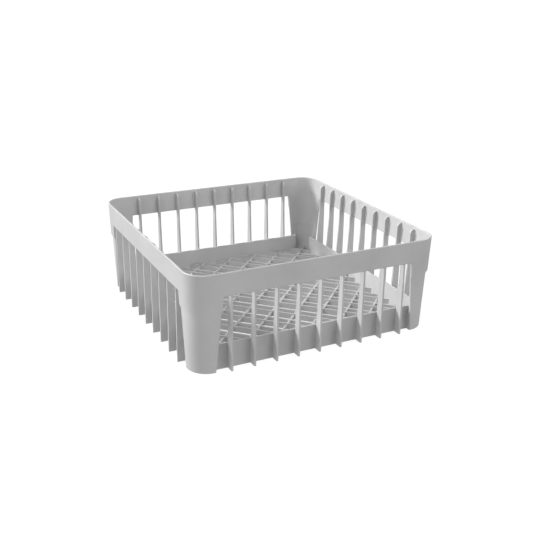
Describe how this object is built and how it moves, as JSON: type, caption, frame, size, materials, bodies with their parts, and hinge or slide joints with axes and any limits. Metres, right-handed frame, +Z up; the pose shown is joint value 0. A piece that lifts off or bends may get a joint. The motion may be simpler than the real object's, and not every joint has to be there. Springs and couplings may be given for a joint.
{
  "type": "dishwasher rack",
  "caption": "Square open-top dishwasher basket moulded in one piece: a plain rim on corner posts, upright fins, a low strip and a diagonal grid floor that drains.",
  "frame": {"origin": "middle of the basket, at the ground it stands on", "axes": "+Z up; X and Y along the walls, with -Y the wall that faces the viewer in the picture"},
  "size_m": [0.4, 0.4, 0.148],
  "materials": {
    "grey_plastic": "fine matt moulded surface"
  },
  "bodies": {
    "root": {"basket": "grey_plastic"}
  },
  "joints": []
}
